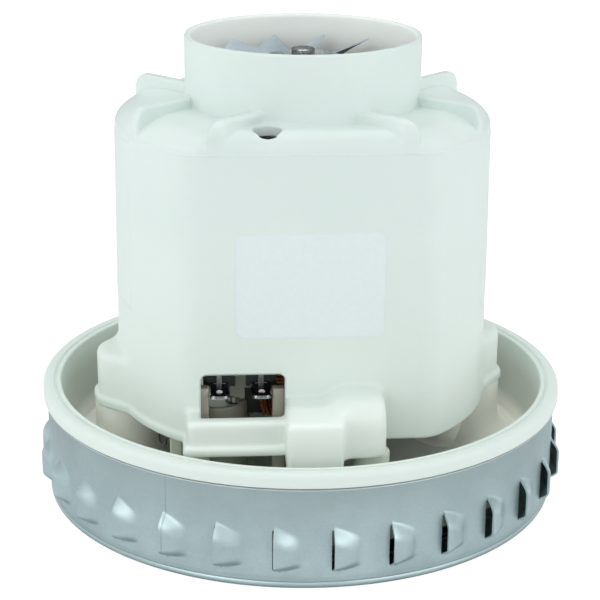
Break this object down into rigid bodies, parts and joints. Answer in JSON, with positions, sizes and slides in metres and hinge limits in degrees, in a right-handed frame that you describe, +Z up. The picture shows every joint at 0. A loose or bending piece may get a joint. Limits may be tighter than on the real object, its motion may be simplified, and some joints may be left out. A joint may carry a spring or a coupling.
{
  "type": "vacuum motor unit",
  "caption": "Vacuum cleaner suction motor: louvred sheet-metal fan casing, moulded rim bracket and ribbed cover with an air neck, with universal motor, brushes, bearings and impeller inside.",
  "frame": {"origin": "on the shaft axis, in the plane of the casing's underside", "axes": "+Z up along the shaft towards the air neck, -Y towards the flat with the terminal window"},
  "size_m": [0.1474, 0.1474, 0.1275],
  "materials": {
    "galvanised_sheet": "zinc coated sheet",
    "cream_plastic": "satin moulding",
    "white_plastic": "satin moulding",
    "label": "blank film sticker",
    "lamination_steel": "stacked sheet edges",
    "copper_wire": "enamelled winding",
    "copper_bar": "turned bars",
    "black_plastic": "satin moulding",
    "bright_steel": "plated",
    "brass": "stamped",
    "carbon": "pressed carbon",
    "cast_aluminium": "cast",
    "rubber": "moulded",
    "resin": "moulded resin",
    "impeller_aluminium": "pressed sheet"
  },
  "bodies": {
    "housing": {"fan_casing": "galvanised_sheet", "motor_bracket": "cream_plastic", "motor_cover": "white_plastic", "rating_label": "label", "stator_core": "lamination_steel", "front_field_coil": "copper_wire", "rear_field_coil": "copper_wire", "coil_insulators": "cream_plastic", "terminal_block": "black_plastic", "terminal_tabs": "bright_steel", "front_brush_holder": "black_plastic", "rear_brush_holder": "black_plastic", "front_brush_sleeve": "brass", "rear_brush_sleeve": "brass", "front_brush_cap": "brass", "rear_brush_cap": "brass", "front_brush_spring": "bright_steel", "rear_brush_spring": "bright_steel", "upper_bearing_bridge": "cast_aluminium", "upper_bearing_damper": "rubber", "upper_bearing_outer_ring": "bright_steel", "lower_bearing_outer_ring": "bright_steel", "lower_bearing_retainer": "galvanised_sheet", "retainer_screws": "bright_steel", "stator_screws": "bright_steel"},
    "rotor": {"rotor_shaft": "bright_steel", "armature_core": "lamination_steel", "armature_windings": "copper_wire", "commutator": "copper_bar", "commutator_hub": "resin", "cooling_fan": "galvanised_sheet", "fan_spacer": "bright_steel", "fan_washer": "bright_steel", "fan_nut": "bright_steel", "impeller_hub_disc": "impeller_aluminium", "impeller_blades": "impeller_aluminium", "impeller_shroud": "impeller_aluminium", "impeller_spacer": "bright_steel", "impeller_washer": "bright_steel", "impeller_nut": "bright_steel", "upper_bearing_inner_ring": "bright_steel", "lower_bearing_inner_ring": "bright_steel"},
    "upper_ball_set": {"upper_bearing_balls": "bright_steel", "upper_bearing_cage": "brass"},
    "lower_ball_set": {"lower_bearing_balls": "bright_steel", "lower_bearing_cage": "brass"},
    "front_carbon": {"front_brush": "carbon"},
    "rear_carbon": {"rear_brush": "carbon"}
  },
  "joints": [
    {"name": "rotor_spin", "type": "hinge", "parent": "housing", "child": "rotor", "pos_m": [0, 0, 0.05], "axis": [0, 0, 1], "continuous": true},
    {"name": "upper_balls_orbit", "type": "hinge", "parent": "housing", "child": "upper_ball_set", "pos_m": [0, 0, 0.1015], "axis": [0, 0, 1], "continuous": true},
    {"name": "lower_balls_orbit", "type": "hinge", "parent": "housing", "child": "lower_ball_set", "pos_m": [0, 0, 0.017], "axis": [0, 0, 1], "continuous": true},
    {"name": "front_brush_slide", "type": "slide", "parent": "housing", "child": "front_carbon", "axis": [0, -1, 0], "range_m": [0, 0.003], "stiffness_N_per_m": 150, "springref_m": -0.012, "deforming": ["front_brush_spring"]},
    {"name": "rear_brush_slide", "type": "slide", "parent": "housing", "child": "rear_carbon", "axis": [0, 1, 0], "range_m": [0, 0.003], "stiffness_N_per_m": 150, "springref_m": -0.012, "deforming": ["rear_brush_spring"]}
  ],
  "couplings": [
    {"joint": "upper_balls_orbit", "follows": "rotor_spin", "ratio": 0.37},
    {"joint": "lower_balls_orbit", "follows": "rotor_spin", "ratio": 0.37}
  ]
}
